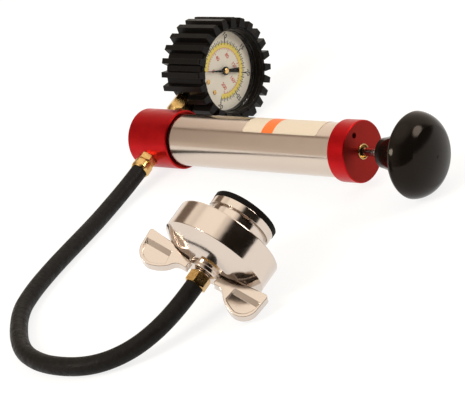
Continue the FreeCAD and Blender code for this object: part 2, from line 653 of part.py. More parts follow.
def lock_ring():
    """Pressed steel ring in the drum with two tabs that hook under the neck's cams."""
    outer = DRUM_BORE_R - SEAT
    body = ring(LOCK_RING_X, LOCK_RING_X + LOCK_RING_LEN, outer, outer - LOCK_RING_T)
    tab = ring(LOCK_RING_X + LOCK_RING_LEN - LOCK_TAB_T, LOCK_RING_X + LOCK_RING_LEN, outer - 0.2, LOCK_TAB_R)
    slab = Part.makeBox(40, 2 * DRUM_R, LOCK_TAB_W, Vector(0, -DRUM_R, -LOCK_TAB_W / 2))
    return body.fuse(tab.common(slab)).removeSplitter()


def adapter_stem():
    """Hollow stem from the hose end to the seal, with the collar that the cap rests against."""
    x0 = STEM_X0
    body = turned([(x0, STEM_BORE_R), (x0, COLLAR_R - 0.4), (x0 + 0.4, COLLAR_R), (x0 + COLLAR_T - 0.4, COLLAR_R),
                   (x0 + COLLAR_T, COLLAR_R - 0.4), (x0 + COLLAR_T, STEM_R), (SEAL_X0 - SEAT, STEM_R),
                   (SEAL_X0 - SEAT, STEM_BORE_R)])
    return body


def hose_end():
    """Brass hexagon with its crimped mouth, screwed to the stem."""
    x1 = STEM_X0 - SEAT
    body = hexagon(END_HEX_AF, x1 - END_HEX_LEN, x1)
    return body.cut(ring(x1 - END_HEX_LEN - 1, x1 + 1, STEM_BORE_R))


def thrust_washer():
    return ring(DRUM_FLOOR_X + LAID, DRUM_FLOOR_X + LAID + WASHER2_T, WASHER2_R, STEM_R + RUN)


def cap_spring():
    """Coil spring round the stem that keeps the cap back against its collar."""
    x0 = DRUM_FLOOR_X + LAID + WASHER2_T + SEAT
    return coil(x0, PLUNGER_FLOOR_X - SEAT, SPRING_R, SPRING_WIRE, SPRING_TURNS)


def plunger():
    """Chromed cup with a flange that backs the rubber seal."""
    inner = PLUNGER_R - PLUNGER_WALL
    return turned([(PLUNGER_X0, inner), (PLUNGER_X0, PLUNGER_R), (FLANGE_X0, PLUNGER_R), (FLANGE_X0, SEAL_R - 0.4),
                   (FLANGE_X0 + 0.4, SEAL_R), (SEAL_X0 - 0.3, SEAL_R), (SEAL_X0, SEAL_R - 0.3),
                   (SEAL_X0, STEM_R + SEAT), (PLUNGER_FLOOR_X, STEM_R + SEAT), (PLUNGER_FLOOR_X, inner)])


def neck_seal():
    x1 = SEAL_X0 + SEAL_T
    return turned([(SEAL_X0 + 0.02, SCREW_R + 0.1), (SEAL_X0 + 0.02, SEAL_R + 0.2), (x1 - 0.5, SEAL_R + 0.2),
                   (x1, SEAL_R - 0.3), (x1, SCREW_R + 0.1)])


def seal_screw():
    """Hollow screw that clamps the seal; air passes through it."""
    x0 = SEAL_X0 + 0.05
    head = ring(x0, x0 + SEAL_T - 1.2, SCREW_R)
    return head.cut(ring(x0 - 1, x0 + SEAL_T, STEM_BORE_R))


# Laying the pieces on the floor

def axes(x_axis, z_axis):
    """Rotation whose X and Z axes are the given directions."""
    return Rotation(x_axis, z_axis.cross(x_axis), z_axis, "XZY")


def pump_rest():
    """Head, knob and boot touch the floor; the gauge leans back from the barrel."""
    slope = math.atan((KNOB_R - HEAD_R) / KNOB_RIM_X)
    lift = (FIN_TIP_R - HEAD_R) * math.cos(slope) / GAUGE_Z
    x_axis = Vector(math.cos(slope), 0, math.sin(slope))
    up = Vector(-math.sin(slope), 0, math.cos(slope))
    lean = math.asin(lift / math.cos(slope))
    z_axis = Vector(0, math.cos(lean), 0) + up * math.sin(lean)
    return Placement(Vector(0, 0, HEAD_R * math.cos(slope)), axes(x_axis, z_axis))


def adapter_rest():
    """The drum's near rim touches the floor; the hose holds the seal end up."""
    rise = math.radians(ADAPTER_RISE)
    heading = math.radians(ADAPTER_HEADING)
    x_axis = Vector(math.cos(rise) * math.cos(heading), math.cos(rise) * math.sin(heading), math.sin(rise))
    level = Vector(math.sin(heading), -math.cos(heading), 0)
    down = x_axis.cross(level)
    if down.z > 0:
        down = down * -1
    dip = math.radians(WING_DIP)
    z_axis = level * math.cos(dip) + down * math.sin(dip)
    return Placement(Vector(ADAPTER_AT[0], ADAPTER_AT[1], DRUM_R * math.cos(rise)), axes(x_axis, z_axis))


def hose_route():
    """Corners of the hose's route, from the head's ferrule to the adapter's brass end."""
    pump = pump_rest()
    adapter = adapter_rest()
    out = pump.Rotation.multVec(Vector(0, 0, -1))
    start = pump.multVec(Vector(HOSE_PORT_X, 0, -(SPOT_Z + HOSE_NUT_LEN + FERRULE_LEN)))
    back = adapter.Rotation.multVec(Vector(-1, 0, 0))
    end = adapter.multVec(Vector(STEM_X0 - SEAT - END_HEX_LEN, 0, 0))
    middle = [Vector(*p) for p in HOSE_FREE_POINTS]
    return [start, start + out * HOSE_STRAIGHT_HEAD] + middle + [end + back * HOSE_STRAIGHT_END, end]


def route_wire(points):
    """Straight runs joined by tangent arcs, each as large as its shorter run allows."""
    edges = []
    here = points[0]
    for before, corner, after in zip(points, points[1:], points[2:]):
        into = corner - before
        away = after - corner
        turn = into.getAngle(away)
        cut = 0.45 * min(into.Length, away.Length)
        radius = cut / math.tan(turn / 2)
        print("hose bend %.0f degrees, radius %.1f" % (math.degrees(turn), radius))
        first = corner - into.normalize() * cut
        last = corner + away.normalize() * cut
        inward = (first + last) * 0.5 - corner
        depth = radius / math.cos(turn / 2) - radius
        middle = corner + inward.normalize() * depth
        edges.append(Part.LineSegment(here, first).toShape())
        edges.append(Part.Arc(first, middle, last).toShape())
        here = last
    edges.append(Part.LineSegment(here, points[-1]).toShape())
    return Part.Wire(edges)


def swept(wire, radius):
    start = wire.Edges[0].firstVertex().Point
    heading = wire.Edges[0].lastVertex().Point - start
    circle = Part.Wire(Part.makeCircle(radius, start, heading))
    return wire.makePipeShell([circle], True, False)


def hose():
    wire = route_wire(hose_route())
    body = swept(wire, HOSE_R).cut(swept(wire, HOSE_BORE_R))
    section = math.pi * (HOSE_R ** 2 - HOSE_BORE_R ** 2)
    print("hose length %.1f, volume over section times length %.4f" % (wire.Length, body.Volume / section / wire.Length))
    return body


PUMP_PIECES = [head_cap, barrel_tube, barrel_seal, rear_cap, rod_bush, bumper, valve_seat, valve_ball, valve_spring,
               hose_fitting, piston_rod, piston, piston_cup, piston_washer, piston_nut, knob, knob_insert,
               gauge_fitting, gauge_socket, gauge_case, bourdon_tube, movement_plate, dial_plate, dial_screws,
               pointer, pointer_spindle, dial_spacer, gauge_lens, bezel, gauge_boot]
ADAPTER_PIECES = [adapter_cap, lock_ring, adapter_stem, hose_end, thrust_washer, cap_spring, plunger, neck_seal, seal_screw]


def placed(maker, placement):
    shape = maker()
    shape.Placement = placement.multiply(shape.Placement)
    return shape


def centre_shift(shapes):
    """Move that puts the origin under the middle of the tester without its hose."""
    box = FreeCAD.BoundBox()
    for shape in shapes:
        box.add(shape.optimalBoundingBox())
    return Vector(-box.Center.x, -box.Center.y, 0)


def build():
    pieces = {make.__name__: placed(make, pump_rest()) for make in PUMP_PIECES}
    pieces.update({make.__name__: placed(make, adapter_rest()) for make in ADAPTER_PIECES})
    shift = centre_shift(pieces.values())
    pieces["hose"] = hose()
    for shape in pieces.values():
        shape.translate(shift)
    return pieces, shift


def main():
    os.makedirs("parts", exist_ok=True)
    pieces, shift = build()
    for name, shape in pieces.items():
        print(name, shape.ShapeType, len(shape.Solids), shape.isValid(), "%.1f" % shape.Volume)
        shape.exportStep("parts/%s.step" % name)
    print("shift", shift)


if __name__ == "__main__":
    main()
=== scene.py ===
import math

import bmesh
import bpy
from mathutils import Matrix, Vector


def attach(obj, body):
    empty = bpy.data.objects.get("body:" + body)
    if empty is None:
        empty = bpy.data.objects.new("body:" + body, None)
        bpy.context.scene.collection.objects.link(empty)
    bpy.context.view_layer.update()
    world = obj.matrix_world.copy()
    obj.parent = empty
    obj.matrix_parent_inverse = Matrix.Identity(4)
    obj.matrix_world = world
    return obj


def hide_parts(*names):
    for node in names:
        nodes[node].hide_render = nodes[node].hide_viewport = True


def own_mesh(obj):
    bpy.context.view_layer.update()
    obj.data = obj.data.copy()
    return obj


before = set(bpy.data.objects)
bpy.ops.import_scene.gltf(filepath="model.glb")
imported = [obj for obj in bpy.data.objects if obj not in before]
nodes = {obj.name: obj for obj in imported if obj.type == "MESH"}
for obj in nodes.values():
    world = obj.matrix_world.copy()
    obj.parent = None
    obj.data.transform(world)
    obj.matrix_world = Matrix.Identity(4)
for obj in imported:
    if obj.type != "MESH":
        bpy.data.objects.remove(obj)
# brought up to date, so that the box of the CAD pieces is measured right
for node in nodes.values():
    node.data.update()
bpy.context.view_layer.update()


# Camera and studio
# A long lens looks down on the tester from the knob's side. The chrome mirrors the room: walls
# that darken from left to right, a bright sweep behind, and a ceiling with a soft box.

bpy.context.scene.view_settings.view_transform = "Standard"


def frame_from(origin, x_way, y_way, z_way):
    """Matrix of a frame, from its origin and the directions of its axes."""
    return Matrix.Translation(origin) @ Matrix((x_way, y_way, z_way)).transposed().to_4x4()


look_from = Vector((0.76439, -0.72770, 0.51658))
view_right = Vector((0.7432, 0.6085, -0.2780))
view_up = Vector((-0.09485, 0.5072, 0.85659))
camera = bpy.data.objects.new("camera", bpy.data.cameras.new("camera"))
bpy.context.scene.collection.objects.link(camera)
bpy.context.scene.camera = camera
camera.data.lens = 154.84
camera.data.sensor_width = 36.0
camera.data.clip_start = 0.05
camera.data.clip_end = 20.0
camera.matrix_world = frame_from(look_from, view_right, view_up, view_right.cross(view_up))


def mesh_object(name, bm, material, smooth=True):
    """Turns a bmesh into an object in the scene."""
    mesh = bpy.data.meshes.new(name)
    bmesh.ops.recalc_face_normals(bm, faces=bm.faces)
    bm.to_mesh(mesh)
    bm.free()
    for face in mesh.polygons:
        face.use_smooth = smooth
    mesh.materials.append(material)
    piece = bpy.data.objects.new(name, mesh)
    bpy.context.scene.collection.objects.link(piece)
    return piece


def make_material(name, **values):
    """New material with the given values on its shader's own sockets."""
    material = bpy.data.materials.new(name)
    material.use_nodes = True
    shader = material.node_tree.nodes["Principled BSDF"]
    for socket, value in values.items():
        shader.inputs[socket.replace("_", " ")].default_value = value
    return material, material.node_tree, shader


def node_at(tree, kind, **settings):
    """Adds a node of the given kind and sets its properties."""
    node = tree.nodes.new(kind)
    for name, value in settings.items():
        setattr(node, name, value)
    return node


def joined(tree, operation, first, second):
    """One mask from two: MULTIPLY keeps what is in both, MAXIMUM what is in either."""
    node = node_at(tree, "ShaderNodeMath", operation=operation)
    tree.links.new(first, node.inputs[0])
    tree.links.new(second, node.inputs[1])
    return node.outputs[0]


def mix_shaders(tree, share, first, second):
    """Ends a material in a mix of two shaders, which is all second where the share is 1."""
    mixed = node_at(tree, "ShaderNodeMixShader")
    tree.links.new(share, mixed.inputs["Fac"])
    tree.links.new(first.outputs[0], mixed.inputs[1])
    tree.links.new(second.outputs[0], mixed.inputs[2])
    tree.links.new(mixed.outputs[0], tree.nodes["Material Output"].inputs["Surface"])


# pale paint that the camera, the chrome and the lens see as white, with the shadows left on it
floor_reach = 3.0
white_share = 0.72
white_strength = 1.12
floor_paint, tree, shader = make_material(
    "floor_paint", Base_Color=(0.80, 0.79, 0.77, 1), Roughness=0.9)
rays = node_at(tree, "ShaderNodeLightPath")
seen = joined(tree, "MAXIMUM", rays.outputs["Is Camera Ray"], rays.outputs["Is Glossy Ray"])
seen = joined(tree, "MAXIMUM", seen, rays.outputs["Is Transmission Ray"])
share = node_at(tree, "ShaderNodeMath", operation="MULTIPLY")
share.inputs[1].default_value = white_share
tree.links.new(seen, share.inputs[0])
white = node_at(tree, "ShaderNodeEmission")
white.inputs["Color"].default_value = (1, 1, 1, 1)
white.inputs["Strength"].default_value = white_strength
mix_shaders(tree, share.outputs[0], shader, white)

bm = bmesh.new()
bm.faces.new([bm.verts.new((x * floor_reach, y * floor_reach, 0))
              for x, y in ((-1, -1), (1, -1), (1, 1), (-1, 1))])
floor = mesh_object("floor", bm, floor_paint, smooth=False)


def smooth_rise(tree, value, start, end):
    """Mask that goes smoothly from 0 to 1 as the value goes from start to end."""
    node = node_at(tree, "ShaderNodeMapRange", interpolation_type="SMOOTHSTEP")
    node.inputs["From Min"].default_value = start
    node.inputs["From Max"].default_value = end
    tree.links.new(value, node.inputs["Value"])
    return node.outputs["Result"]


def painted_over(tree, below, mask, colour):
    """Puts a colour over the one below, where the mask is 1."""
    node = node_at(tree, "ShaderNodeMix", data_type="RGBA")
    node.inputs["B"].default_value = (*colour, 1)
    tree.links.new(mask, node.inputs["Factor"])
    tree.links.new(below, node.inputs["A"])
    return node.outputs["Result"]


# places in the room are given by the parts of the direction towards them, from -1 to 1
room = bpy.data.worlds.new("room")
bpy.context.scene.world = room
room.use_nodes = True
tree = room.node_tree
direction = node_at(tree, "ShaderNodeTexCoord")
split = node_at(tree, "ShaderNodeSeparateXYZ")
tree.links.new(direction.outputs["Generated"], split.inputs[0])
rightward, backward, upward = split.outputs

# walls, from the left at 0 to the right at 1
wall_colours = (
    (0.0, (0.73, 0.64, 0.55)), (0.45, (0.62, 0.54, 0.46)), (0.62, (0.30, 0.26, 0.23)),
    (0.76, (0.022, 0.016, 0.012)), (1.0, (0.010, 0.007, 0.005)))
across = node_at(tree, "ShaderNodeMapRange")
across.inputs["From Min"].default_value = -1.0
tree.links.new(rightward, across.inputs["Value"])
walls = node_at(tree, "ShaderNodeValToRGB")
tree.links.new(across.outputs["Result"], walls.inputs["Fac"])
stops = walls.color_ramp.elements
for place, colour in wall_colours[1:-1]:
    stops.new(place)
for stop, (place, colour) in zip(stops, wall_colours):
    stop.color = (*colour, 1)

# a bright sweep behind the tester, which ends short of the right wall
sweep = joined(tree, "MULTIPLY",
               smooth_rise(tree, backward, -0.14, -0.02), smooth_rise(tree, rightward, 0.60, 0.35))
room_colour = painted_over(tree, walls.outputs["Color"], sweep, (1.13, 1.01, 0.89))

# dark above the floor: the far left, and an upright strip in the left wall
strip_middle, strip_half = -0.13, 0.055
left_from = -0.45
raised = smooth_rise(tree, upward, 0.12, 0.26)
far_left = joined(tree, "MULTIPLY", smooth_rise(tree, rightward, -0.695, -0.745), raised)
strip = node_at(tree, "ShaderNodeMath", operation="COMPARE")
strip.inputs[1].default_value = strip_middle
strip.inputs[2].default_value = strip_half
tree.links.new(backward, strip.inputs[0])
left_side = node_at(tree, "ShaderNodeMath", operation="LESS_THAN")
left_side.inputs[1].default_value = left_from
tree.links.new(rightward, left_side.inputs[0])
strip_raised = joined(tree, "MULTIPLY", strip.outputs[0], raised)
left_strip = joined(tree, "MULTIPLY", strip_raised, left_side.outputs[0])
dark = joined(tree, "MAXIMUM", far_left, left_strip)
room_colour = painted_over(tree, room_colour, dark, (0.22, 0.16, 0.12))

# a pale ceiling with a brighter soft box in its middle
ceiling = smooth_rise(tree, upward, 0.76, 0.90)
room_colour = painted_over(tree, room_colour, ceiling, (0.98, 0.89, 0.79))
soft_box = smooth_rise(tree, upward, 0.90, 0.95)
room_colour = painted_over(tree, room_colour, soft_box, (1.28, 1.17, 1.04))

# the camera itself sees a white backdrop
rays = node_at(tree, "ShaderNodeLightPath")
room_colour = painted_over(tree, room_colour, rays.outputs["Is Camera Ray"], (1, 1, 1))
tree.links.new(room_colour, tree.nodes["Background"].inputs["Color"])


def soft_light(name, place, target, size, power):
    """Round lamp of warm white light, turned towards its target."""
    lamp = bpy.data.objects.new(name, bpy.data.lights.new(name, "AREA"))
    lamp.data.shape = "DISK"
    lamp.data.size = size
    lamp.data.energy = power
    lamp.data.color = (1.0, 0.95, 0.88)
    lamp.location = place
    lamp.rotation_mode = "QUATERNION"
    lamp.rotation_quaternion = (Vector(target) - Vector(place)).to_track_quat("-Z", "Y")
    bpy.context.scene.collection.objects.link(lamp)
    return lamp


tester_middle = (0, 0, 0.02)
soft_light("key_light", (-0.33, -1.27, 0.92), tester_middle, size=0.42, power=6.5)
fill_light = soft_light("fill_light", (-0.1, -1.1, 1.1), tester_middle, size=0.6, power=10)
fill_light.visible_glossy = False  # so that the fill adds no bright spot of its own to the knob and the chrome
gauge_side = (0, 0.05, 0.04)
soft_light("back_light", (0.95, 0.58, 0.76), gauge_side, size=0.62, power=7)


# Hose
# Black rubber hose, 10 mm outside, with the faint print of the cloth it was cured in. It leaves
# the head's ferrule, lies on the floor in one loop and rises into the adapter's brass end.

def new_group(name, output, **inputs):
    """Node group with these inputs, each with its usual value, and one output."""
    group = bpy.data.node_groups.new(name, "ShaderNodeTree")
    for label, value in inputs.items():
        kind = "NodeSocketVector" if isinstance(value, tuple) else "NodeSocketFloat"
        socket = group.interface.new_socket(label, in_out="INPUT", socket_type=kind)
        socket.default_value = value
    group.interface.new_socket(output, in_out="OUTPUT", socket_type="NodeSocketFloat")
    return group, group.nodes.new("NodeGroupInput"), group.nodes.new("NodeGroupOutput")


def place_group(tree, group, **values):
    """Places a group in a material with its own values, and gives the group's output."""
    node = node_at(tree, "ShaderNodeGroup", node_tree=group)
    for name, value in values.items():
        node.inputs[name].default_value = value
    return node.outputs[0]


# fine unevenness all over a surface
grain, entry, leave = new_group("grain", "Value", Size=1500.0, Detail=3.0)
where = node_at(grain, "ShaderNodeTexCoord")
noise = node_at(grain, "ShaderNodeTexNoise")
grain.links.new(where.outputs["Object"], noise.inputs["Vector"])
grain.links.new(entry.outputs["Size"], noise.inputs["Scale"])
grain.links.new(entry.outputs["Detail"], noise.inputs["Detail"])
grain.links.new(noise.outputs["Fac"], leave.inputs["Value"])

# patches that hands and rags leave, as a value between Low and High
handling, entry, leave = new_group("handling", "Value", Size=60.0, Low=0.2, High=0.4)
where = node_at(handling, "ShaderNodeTexCoord")
blotch = node_at(handling, "ShaderNodeTexNoise")
blotch.inputs["Detail"].default_value = 5.0
blotch.inputs["Roughness"].default_value = 0.6
spread = node_at(handling, "ShaderNodeMapRange")
spread.inputs["From Min"].default_value = 0.35
spread.inputs["From Max"].default_value = 0.68
handling.links.new(where.outputs["Object"], blotch.inputs["Vector"])
handling.links.new(entry.outputs["Size"], blotch.inputs["Scale"])
handling.links.new(blotch.outputs["Fac"], spread.inputs["Value"])
handling.links.new(entry.outputs["Low"], spread.inputs["To Min"])
handling.links.new(entry.outputs["High"], spread.inputs["To Max"])
handling.links.new(spread.outputs["Result"], leave.inputs["Value"])


def handled_gloss(tree, shader, size, low, high):
    """Roughness from low to high, in the patches that handling leaves."""
    patches = place_group(tree, handling, Size=size, Low=low, High=high)
    tree.links.new(patches, shader.inputs["Roughness"])
    return patches


def bump_from(tree, shader, height, depth, strength):
    """Relief of the given depth in metres, from a height value that runs from 0 to 1."""
    bump = node_at(tree, "ShaderNodeBump")
    bump.inputs["Strength"].default_value = strength
    bump.inputs["Distance"].default_value = depth
    tree.links.new(height, bump.inputs["Height"])
    tree.links.new(bump.outputs["Normal"], shader.inputs["Normal"])
    return bump


def colour_between(tree, shader, mask, first, second):
    """Base colour that goes from first to second as the mask goes from 0 to 1."""
    mix = node_at(tree, "ShaderNodeMix", data_type="RGBA")
    mix.inputs["A"].default_value = (*first, 1)
    mix.inputs["B"].default_value = (*second, 1)
    tree.links.new(mask, mix.inputs["Factor"])
    tree.links.new(mix.outputs["Result"], shader.inputs["Base Color"])
    return mix.outputs["Result"]


hose_radius = 0.0051
# its middle line, from the ferrule to the brass end
hose_route = [
    (-0.09797, -0.00016, 0.01115), (-0.09787, -0.01272, 0.00782), (-0.09350, -0.04083, 0.00530),
    (-0.08950, -0.05903, 0.00520), (-0.08550, -0.08003, 0.00520), (-0.08090, -0.10203, 0.00520),
    (-0.07450, -0.12503, 0.00520), (-0.06470, -0.14643, 0.00520), (-0.03750, -0.17343, 0.00520),
    (-0.01360, -0.18193, 0.00520), (0.00980, -0.17983, 0.00520), (0.02570, -0.17243, 0.00560),
    (0.03800, -0.16033, 0.00800), (0.04600, -0.14533, 0.01240), (0.04931, -0.12684, 0.01747),
    (0.05090, -0.11551, 0.02199)]

hose_rubber, tree, shader = make_material(
    "hose_rubber", Base_Color=(0.006, 0.005, 0.0045, 1), Roughness=0.5, Specular_IOR_Level=0.14)
handled_gloss(tree, shader, size=260.0, low=0.38, high=0.62)
cloth = place_group(tree, grain, Size=420.0, Detail=4.0)
bump_from(tree, shader, cloth, depth=0.0005, strength=0.7)
colour_between(tree, shader, cloth, (0.004, 0.0034, 0.003), (0.011, 0.0095, 0.0085))

hose_line = bpy.data.curves.new("rubber_hose", "CURVE")
hose_line.dimensions = "3D"
hose_line.resolution_u = 24
hose_line.bevel_depth = hose_radius
hose_line.bevel_resolution = 8
spline = hose_line.splines.new("NURBS")
spline.points.add(len(hose_route) - 1)
for point, place in zip(spline.points, hose_route):
    point.co = (*place, 1)
spline.order_u = 3
spline.use_endpoint_u = True
hose_line.materials.append(hose_rubber)
rubber_hose = bpy.data.objects.new("rubber_hose", hose_line)
bpy.context.scene.collection.objects.link(rubber_hose)
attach(rubber_hose, "pump_body")
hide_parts("hose")


# Head and rear cap
# Turned from aluminium bar and anodised red. The head carries the gauge and the hose, the rear
# cap guides the rod and has a small vent hole. Both are screwed on the tube.

def finish_nodes(material, *names):
    """Gives CAD pieces this finish."""
    for name in names:
        nodes[name].data.materials.clear()
        nodes[name].data.materials.append(material)


# how the barrel lies: its direction from the head, its underside, the way to the gauge, and the
# middle of the head's closed end
barrel_axis = Vector((0.999515, 0.0, 0.031146))
barrel_down = Vector((0.030102, 0.256822, -0.96599))
gauge_up = Vector((-0.007999, 0.966459, 0.256697))
barrel_base = Vector((-0.1121, 0.027966, 0.018191))
barrel_place = frame_from(barrel_base, barrel_axis, barrel_down, gauge_up)

# grooves that a lathe leaves: rings along an axis, broken up a little
turning, entry, leave = new_group("turning", "Value", Axis=(1.0, 0.0, 0.0), Pitch=9000.0)
where = node_at(turning, "ShaderNodeTexCoord")
along = node_at(turning, "ShaderNodeVectorMath", operation="DOT_PRODUCT")
ripple = node_at(turning, "ShaderNodeTexNoise", noise_dimensions="1D")
ripple.inputs["Detail"].default_value = 3.0
turning.links.new(where.outputs["Object"], along.inputs[0])
turning.links.new(entry.outputs["Axis"], along.inputs[1])
turning.links.new(along.outputs["Value"], ripple.inputs["W"])
turning.links.new(entry.outputs["Pitch"], ripple.inputs["Scale"])
turning.links.new(ripple.outputs["Fac"], leave.inputs["Value"])

red_anodised, tree, shader = make_material(
    "red_anodised", Base_Color=(0.46, 0.008, 0.012, 1), Metallic=0.9, Roughness=0.32,
    Specular_IOR_Level=0.05)
dye = place_group(tree, handling, Size=45.0, Low=0.0, High=1.0)
side_red = colour_between(tree, shader, dye, (0.45, 0.007, 0.010), (0.54, 0.011, 0.013))
# painted shade: the end faces that look along the barrel face the room's dark right side, so they
# are given a darker red
facing = node_at(tree, "ShaderNodeTexCoord")
end_on = node_at(tree, "ShaderNodeVectorMath", operation="DOT_PRODUCT")
end_on.inputs[1].default_value = tuple(barrel_axis)
shaded_end_face = node_at(tree, "ShaderNodeMapRange")
shaded_end_face.inputs["From Min"].default_value = 0.88
shaded_end_face.inputs["From Max"].default_value = 0.97
tree.links.new(facing.outputs["Normal"], end_on.inputs[0])
tree.links.new(end_on.outputs["Value"], shaded_end_face.inputs["Value"])
# darker red painted on the end faces as shade
red_with_painted_shade = painted_over(tree, side_red, shaded_end_face.outputs["Result"], (0.26, 0.011, 0.007))
tree.links.new(red_with_painted_shade, shader.inputs["Base Color"])
handled_gloss(tree, shader, size=150.0, low=0.28, high=0.40)
cuts = place_group(tree, turning, Axis=tuple(barrel_axis), Pitch=4500.0)
bump_from(tree, shader, cuts, depth=0.00004, strength=0.5)
finish_nodes(red_anodised, "head_cap", "rear_cap")


# Barrel
# Drawn stainless tube, polished bright, sealed in the head on a flat rubber ring. A paper label
# with one orange stripe is stuck along its upper side and carries no text here.

tube_radius = 0.0160
label_radius = tube_radius + 0.00002
stripe_radius = tube_radius + 0.00013  # on top of the paper

bright_tube, tree, shader = make_material(
    "bright_tube", Base_Color=(0.66, 0.56, 0.48, 1), Metallic=1.0, Roughness=0.20)
polish = handled_gloss(tree, shader, size=38.0, low=0.17, high=0.24)
drawn = place_group(tree, grain, Size=55.0, Detail=1.0)
bump_from(tree, shader, drawn, depth=0.0002, strength=0.12)
colour_between(tree, shader, polish, (0.68, 0.575, 0.49), (0.63, 0.53, 0.455))
finish_nodes(bright_tube, "barrel_tube")


def paper_material(name, base, gloss, first, second):
    """Printed paper, whose colour goes from first to second with its fibres."""
    material, tree, shader = make_material(name, Base_Color=(*base, 1), Roughness=gloss)
    fibres = place_group(tree, grain, Size=900.0, Detail=4.0)
    colour_between(tree, shader, fibres, first, second)
    bump_from(tree, shader, fibres, depth=0.00005, strength=0.3)
    return material


def tube_patch(name, x0, x1, turn0, turn1, radius, thick, material, corner=0.0):
    """Thin sheet wrapped on the tube from x0 to x1, and from turn0 to turn1 degrees round it."""
    steps_along, steps_around = 60, 28
    bm = bmesh.new()
    grid = []
    for i in range(steps_along + 1):
        row = []
        for j in range(steps_around + 1):
            x = x0 + (x1 - x0) * i / steps_along
            turn = turn0 + (turn1 - turn0) * j / steps_around
            from_end = min(x - x0, x1 - x)
            from_side = math.radians(min(turn - turn0, turn1 - turn)) * radius
            if corner and from_end < corner and from_side < corner:
                # pulled in to the corner's round
                pull = corner - math.sqrt(max(corner ** 2 - (corner - from_end) ** 2, 0))
                shift = math.degrees(max(0.0, pull - from_side) / radius)
                turn += shift * (1 if turn - turn0 < turn1 - turn else -1)
            a = math.radians(turn)
            place = Vector((x, -radius * math.cos(a), radius * math.sin(a)))
            row.append(bm.verts.new(barrel_place @ place))
        grid.append(row)
    for i in range(steps_along):
        for j in range(steps_around):
            bm.faces.new((grid[i][j], grid[i + 1][j], grid[i + 1][j + 1], grid[i][j + 1]))
    piece = mesh_object(name, bm, material)
    thicken = piece.modifiers.new("paper", "SOLIDIFY")
    thicken.thickness = thick
    thicken.offset = 1.0
    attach(piece, "pump_body")


label_paper = paper_material(
    "label_paper", (0.68, 0.60, 0.48), gloss=0.42,
    first=(0.62, 0.53, 0.41), second=(0.70, 0.61, 0.48))
label_orange = paper_material(
    "label_orange", (0.80, 0.16, 0.02), gloss=0.4,
    first=(0.75, 0.13, 0.015), second=(0.86, 0.20, 0.03))
tube_patch("label", x0=0.0923, x1=0.1500, turn0=-17.5, turn1=62.0, radius=label_radius,
           thick=0.00010, material=label_paper, corner=0.0015)
tube_patch("label_stripe", x0=0.1076, x1=0.1165, turn0=-17.4, turn1=61.9, radius=stripe_radius,
           thick=0.00002, material=label_orange)


# Rod, bush and knob
# The ground steel rod runs in a brass bush pressed in the rear cap, and is screwed into a brass
# insert in the moulded knob, which is glossy black.

steel_rod, tree, shader = make_material(
    "steel_rod", Base_Color=(0.42, 0.36, 0.34, 1), Metallic=1.0, Roughness=0.22)
cuts = place_group(tree, turning, Axis=tuple(barrel_axis), Pitch=7000.0)
bump_from(tree, shader, cuts, depth=0.00003, strength=0.5)
handled_gloss(tree, shader, size=120.0, low=0.15, high=0.30)
finish_nodes(steel_rod, "piston_rod")


def brass_material(name, axis, light, dark):
    """Brass turned on an axis, with tarnish in patches."""
    material, tree, shader = make_material(
        name, Base_Color=(*light, 1), Metallic=1.0, Roughness=0.25)
    tarnish = place_group(tree, handling, Size=240.0, Low=0.0, High=1.0)
    colour_between(tree, shader, tarnish, light, dark)
    handled_gloss(tree, shader, size=180.0, low=0.16, high=0.36)
    cuts = place_group(tree, turning, Axis=tuple(axis), Pitch=6000.0)
    bump_from(tree, shader, cuts, depth=0.00005, strength=0.6)
    return material


bush_brass = brass_material(
    "bush_brass", barrel_axis, light=(0.62, 0.44, 0.20), dark=(0.40, 0.26, 0.10))
finish_nodes(bush_brass, "rod_bush", "knob_insert")

knob_black, tree, shader = make_material(
    "knob_black", Base_Color=(0.005, 0.0038, 0.003, 1), Roughness=0.10, Specular_IOR_Level=0.19,
    Specular_Tint=(1.0, 0.84, 0.72, 1))
handled_gloss(tree, shader, size=30.0, low=0.07, high=0.16)
orange_peel = place_group(tree, grain, Size=70.0, Detail=1.0)
bump_from(tree, shader, orange_peel, depth=0.0002, strength=0.1)
finish_nodes(knob_black, "knob")


# Check valve
# In the head, a brass seat and a steel ball let air out of the barrel and not back. A coil spring
# keeps the ball on its seat, and shortens when the ball lifts.

def press_spring(name):
    """Gives a coil a mesh of its own."""
    spring = nodes[name]
    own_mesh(spring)


finish_nodes(bush_brass, "valve_seat")
finish_nodes(steel_rod, "valve_ball", "valve_spring")
press_spring("valve_spring")


# Piston and seals
# Inside the barrel: a moulded piston with a rubber cup, held on the rod by a steel washer and nut.
# A rubber ring seals the tube in the head, and a rubber bumper ends the stroke.

soft_black, tree, shader = make_material(
    "soft_black", Base_Color=(0.006, 0.005, 0.0045, 1), Roughness=0.6, Specular_IOR_Level=0.05)
handled_gloss(tree, shader, size=90.0, low=0.42, high=0.62)
skin = place_group(tree, grain, Size=2200.0, Detail=3.0)
bump_from(tree, shader, skin, depth=0.00004, strength=0.5)
finish_nodes(soft_black, "piston", "piston_cup", "barrel_seal", "bumper")
finish_nodes(steel_rod, "piston_washer", "piston_nut")


# Gauge
# A brass stem screws into the head. The steel case holds the pressure tube, the movement, the
# printed dial and the pointer behind a clear lens, inside a finned boot of black rubber.

# the hose's fitting at the head is of the same brass
gauge_brass = brass_material(
    "gauge_brass", gauge_up, light=(0.82, 0.56, 0.22), dark=(0.55, 0.33, 0.11))
finish_nodes(gauge_brass, "gauge_fitting", "gauge_socket", "bourdon_tube", "movement_plate",
             "dial_screws", "pointer_spindle", "hose_fitting")

